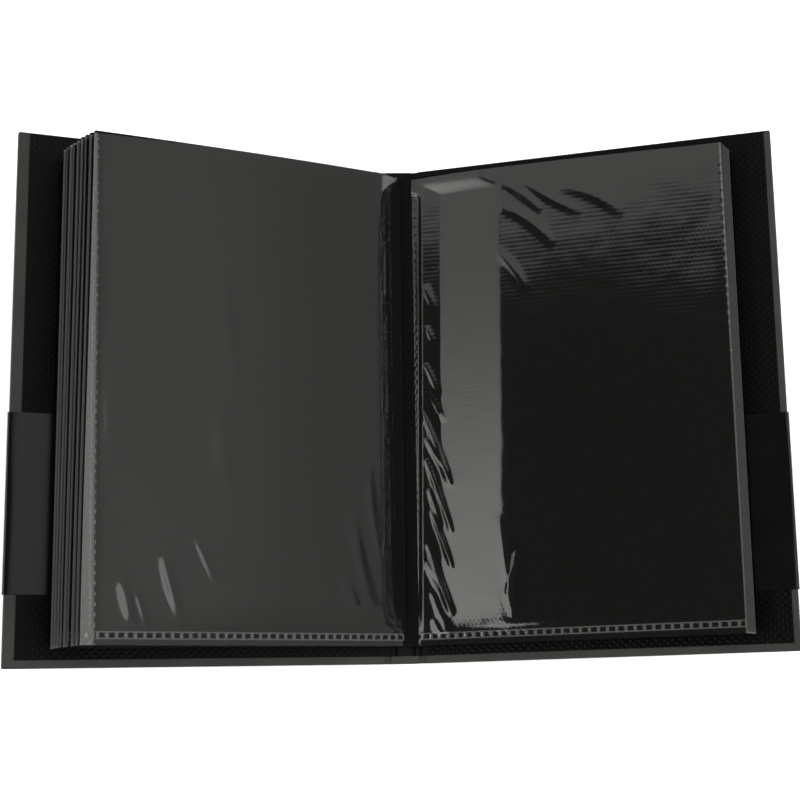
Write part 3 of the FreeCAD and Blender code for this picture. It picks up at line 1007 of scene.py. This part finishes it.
def make_film(number, film, facing, fine):
    """One pocket film of a leaf, on its upper (facing = 1) or lower (facing = -1) side."""
    side = leaf_side(number)
    place = leaf_frame(number)
    out, along = film_grid(fine, film.root)
    up = facing * (SHEET_THICK / 2 + film.height(out, along))
    name = f"{leaf_body(number)}_film_{'upper' if facing > 0 else 'lower'}"
    piece = surface(name, place, *skew(number, out, along), up, side * facing)
    panel = stack(out, along, film.beyond_fore(out, along))
    piece.data.attributes["panel"].data.foreach_set("vector", panel.astype(np.float32).ravel())
    smooth(piece, 180)
    return finish_piece(piece, FILM, "pocket_film", leaf_body(number), f"{leaf_body(number)}_pockets")


LEFT_FILM = Film(
    LEFT_SLOPES, (4.2, 1.0), LEFT_RIDGES, seed=4, wave=0.05, mouth=0.9, pucker=0.12, tail_share=0.3
)
RIGHT_FILM = Film(
    RIGHT_SLOPES, (0.4, 0.6), RIGHT_RIDGES, seed=11, wave=0.05, mouth=0.95, pucker=0.06, tail_share=0.3,
    lean=2.5, opened=8.0,
)
OPEN_FILMS = {LEAVES_PER_SIDE: LEFT_FILM, LEAVES_PER_SIDE + 1: RIGHT_FILM}


def make_leaves():
    """Every film is flat, but for those of the two open pages."""
    source = np.random.default_rng(21)
    for number in range(1, LEAF_COUNT + 1):
        open_page = number in OPEN_FILMS
        make_sheet(number, fine=open_page)
        quiet = Film(QUIET, insets=(source.uniform(0.2, 1.0), source.uniform(0.2, 1.0)))
        make_film(number, quiet, -1, fine=False)
        top = make_film(number, OPEN_FILMS.get(number, quiet), 1, fine=open_page)
        if open_page:
            press_flat(top, number)


# ---------------------------------------------------------------- belly band

BAND_THICK = 0.25
BAND_FLAP = 40.0
BAND_OUTER_UP = -0.25
BAND_FLAP_UP = 2.65


def band_profile():
    """Middle line (out, up) of the band: flat on the cover, round the fore-edge, back under the leaves."""
    outer = BAND_OUTER_UP
    knots = [
        (0.0, outer),
        (40.0, outer),
        (80.0, outer),
        (110.0, outer),
        (120.0, outer),
        (123.5, outer),
        (124.8, outer + 0.15),
        (125.35, outer + 0.8),
        (125.45, 1.4),
        (125.3, 2.1),
        (124.7, 2.55),
        (123.5, 2.76),
        (121.5, 2.8),
        (118.0, 2.75),
        (113.0, 2.68),
        (100.0, BAND_FLAP_UP),
        (COVER_REACH + 0.3 - BAND_FLAP, BAND_FLAP_UP),
    ]
    return smooth_line(knots, 6)


def smooth_line(knots, steps):
    """A Catmull-Rom line through the knots."""
    knots = np.array(knots, float)
    padded = np.concatenate([[2 * knots[0] - knots[1]], knots, [2 * knots[-1] - knots[-2]]])
    points = []
    for a, b, c, d in zip(padded, padded[1:], padded[2:], padded[3:]):
        for t in np.linspace(0, 1, steps, endpoint=False):
            point = 0.5 * (
                2 * b + (c - a) * t + (2 * a - 5 * b + 4 * c - d) * t**2 + (3 * b - a - 3 * c + d) * t**3
            )
            points.append(point)
    points.append(knots[-1])
    return np.array(points)


def make_band_side(side):
    node = f"band_{SIDE_NAME[side]}"
    low, high = box_mm(node)
    place = cover_frame(side)
    line = band_profile()
    along = np.linspace(low[1], high[1], 28)
    way = np.gradient(line, axis=0)
    way = way / np.hypot(way[:, 0], way[:, 1])[:, None]
    normal = np.stack([way[:, 1], -way[:, 0]], axis=-1)
    outer = line + normal * (BAND_THICK / 2)
    inner = line + normal * (-BAND_THICK / 2)
    outline = np.concatenate([outer, inner[::-1]])
    ripple = 1 + 0.12 * np.sin((along - low[1]) / (high[1] - low[1]) * 2 * math.pi + side)
    loops = []
    for y, lift in zip(along, ripple):
        flap = ease(outline[:, 1], 2.4, 3.4) * (lift - 1) * 1.5
        loops.append(place(outline[:, 0], np.full(len(outline), y), outline[:, 1] + flap))
    points = np.array(loops).transpose(1, 0, 2)
    count, rows = points.shape[0], points.shape[1]
    faces = grid_faces(count, rows, flip=side == FRONT, wrap=True).tolist()
    first = [index * rows for index in range(count)]
    last = [index * rows + rows - 1 for index in range(count)]
    half = count // 2
    for ends, turned in ((first, side == FRONT), (last, side == BACK)):
        for index in range(half - 1):
            quad = [ends[index], ends[index + 1], ends[count - 2 - index], ends[count - 1 - index]]
            faces.append(quad[::-1] if turned else quad)
    piece = new_object(f"belly_{node}", points.reshape(-1, 3), faces)
    smooth(piece)
    return finish_piece(piece, BAND, "band", node, node)


def make_band_spine():
    low, high = box_mm("band_spine")
    across = np.linspace(low[0] - 0.12, high[0] + 0.12, 15)
    along = np.linspace(low[1], high[1], 20)
    lift = 0.10 * (across / high[0]) ** 8
    points = []
    for height in (low[2], high[2]):
        points += [(x, y, height + up) for y in along for x, up in zip(across, lift)]
    rows = len(along)
    columns = len(across)
    count = rows * columns
    faces = grid_faces(rows, columns, 0, flip=True).tolist()
    faces += grid_faces(rows, columns, count).tolist()
    rim = grid_rim(rows, columns)
    after = np.roll(rim, -1)
    faces += np.stack([rim, after, after + count, rim + count], axis=-1).tolist()
    piece = new_object("belly_band_spine", points, faces)
    smooth(piece)
    return finish_piece(piece, BAND, "band", "band_spine", "band_spine")


# ---------------------------------------------------------------- room, lights and camera


def make_floor():
    size = 4000.0
    count = 3
    line = np.linspace(-size, size, count)
    points = [(x, y, 0.0) for y in line for x in line]
    floor = new_object("floor", points, grid_faces(count, count))
    graph = start_material("floor_pale")
    grain = graph.noise(object_mm(graph), 0.004, 3.0)
    colour = graph.ramp(grain, (0.3, (0.86, 0.86, 0.86)), (0.7, (0.88, 0.88, 0.88)))
    floor.data.materials.append(graph.paint(colour, 0.9, 0.1))


CEILING = 0.06


def make_world():
    """A soft room: a window low on the left, a wall and a dark pillar behind it, a dark ceiling, and a pale
    right side with a lamp."""
    world = bpy.data.worlds.new("studio")
    bpy.context.scene.world = world
    graph = Graph(world)
    way = graph.node("ShaderNodeTexCoord").outputs["Generated"]
    parts = graph.node("ShaderNodeSeparateXYZ", Vector=way)
    x = parts.outputs["X"]
    y = parts.outputs["Y"]
    z = parts.outputs["Z"]
    left = graph.remap(x, -0.15, -0.3, 0.0, 1.0)
    under_lintel = graph.remap(z, 0.672, 0.660, 0.0, 1.0)
    over_sill = graph.remap(z, 0.30, 0.36, 0.0, 1.0)
    window = graph.math("MULTIPLY", under_lintel, over_sill)
    window = graph.math("MULTIPLY", window, graph.remap(y, 0.04, 0.28, 2.4, 0.8))
    window = graph.math("MULTIPLY", window, left)
    over_lintel = graph.remap(z, 0.660, 0.680, 0.0, 1.0)
    wall = graph.math("MULTIPLY", graph.remap(y, 0.255, 0.30, 0.0, 0.72), over_lintel)
    pillar_side = graph.remap(x, -0.676, -0.686, 0.0, 1.0)
    pillar = graph.math("MULTIPLY", pillar_side, graph.remap(y, 0.298, 0.308, 1.0, 0.0))
    wall = graph.math("MULTIPLY", wall, graph.math("SUBTRACT", left, pillar))
    right = graph.remap(x, 0.1, 0.5, 0.0, 1.0)
    right_tone = graph.math("MULTIPLY", right, graph.remap(z, 0.3, 0.75, 0.35, 0.62))
    lamp_top = graph.remap(z, 0.74, 0.78, 1.0, 0.0)
    lamp = graph.math("MULTIPLY", graph.remap(z, 0.64, 0.68, 0.0, 1.4), lamp_top)
    lamp = graph.math("MULTIPLY", lamp, right)
    total = graph.math("ADD", graph.math("ADD", window, CEILING), wall)
    total = graph.math("ADD", graph.math("ADD", total, right_tone), lamp)
    colour = graph.ramp(total, (0.05, (1.0, 0.90, 0.82)), (0.35, (1.0, 1.0, 0.96)))
    shader = graph.node("ShaderNodeBackground", Color=colour, Strength=total)
    graph.output(shader, "ShaderNodeOutputWorld")


def area_light(name, place, size, power):
    """A square light at a place in metres, aimed at the album, that doesn't show in mirrors."""
    light = bpy.data.lights.new(name, "AREA")
    light.shape = "RECTANGLE"
    light.size = size
    light.size_y = size
    light.energy = power
    lamp = bpy.data.objects.new(name, light)
    lamp.location = place
    lamp.rotation_euler = (-Vector(place)).to_track_quat("-Z", "Y").to_euler()
    lamp.visible_glossy = False
    bpy.context.scene.collection.objects.link(lamp)


def make_lights():
    area_light("key_above", (0.15, 0.1, 1.6), 1.6, 38.0)
    area_light("fill_left", (-1.3, -0.5, 1.0), 1.2, 12.0)
    area_light("fill_right", (1.3, -0.4, 1.0), 1.2, 14.0)


def make_camera():
    """Above the book, a little to its left and tail, looking down at the gutter."""
    data = bpy.data.cameras.new("camera")
    camera = bpy.data.objects.new("camera", data)
    bpy.context.scene.collection.objects.link(camera)
    bpy.context.scene.camera = camera
    data.sensor_width = 36.0
    data.lens = 73.78
    data.shift_x = -0.1005
    data.shift_y = -0.0220
    data.clip_start = 0.05
    data.clip_end = 50.0
    place = Vector((-9.28, -100.25, 552.9)) * MM
    view = Vector((0.0647, 0.1954, -0.9786)).normalized()
    up = Vector((0.0118, 0.9804, 0.1965))
    up = (up - view * up.dot(view)).normalized()
    right = view.cross(up)
    turn = Matrix((right, up, -view)).transposed().to_4x4()
    camera.matrix_world = Matrix.Translation(place) @ turn


# ---------------------------------------------------------------- the whole scene

for cover_side in (FRONT, BACK):
    make_covering(cover_side)
    make_joint(cover_side)
    make_endpaper(cover_side)
    make_gutter_strip(cover_side)
    make_band_side(cover_side)
    for end in (-1, 1):
        corner_tuck(cover_side, end)
make_spine_covering()
make_band_spine()
make_leaves()

for node, material in (
    ("front_board", GREYBOARD),
    ("back_board", GREYBOARD),
    ("spine_board", GREYBOARD),
    ("spine_lining", LINING),
    ("binding_strip", GLUE),
):
    mesh = frame["nodes"][node].data
    mesh.materials.clear()
    mesh.materials.append(material)

make_floor()
make_world()
make_lights()
make_camera()

scene = bpy.context.scene
scene.view_settings.view_transform = "Standard"
scene.view_settings.look = "None"
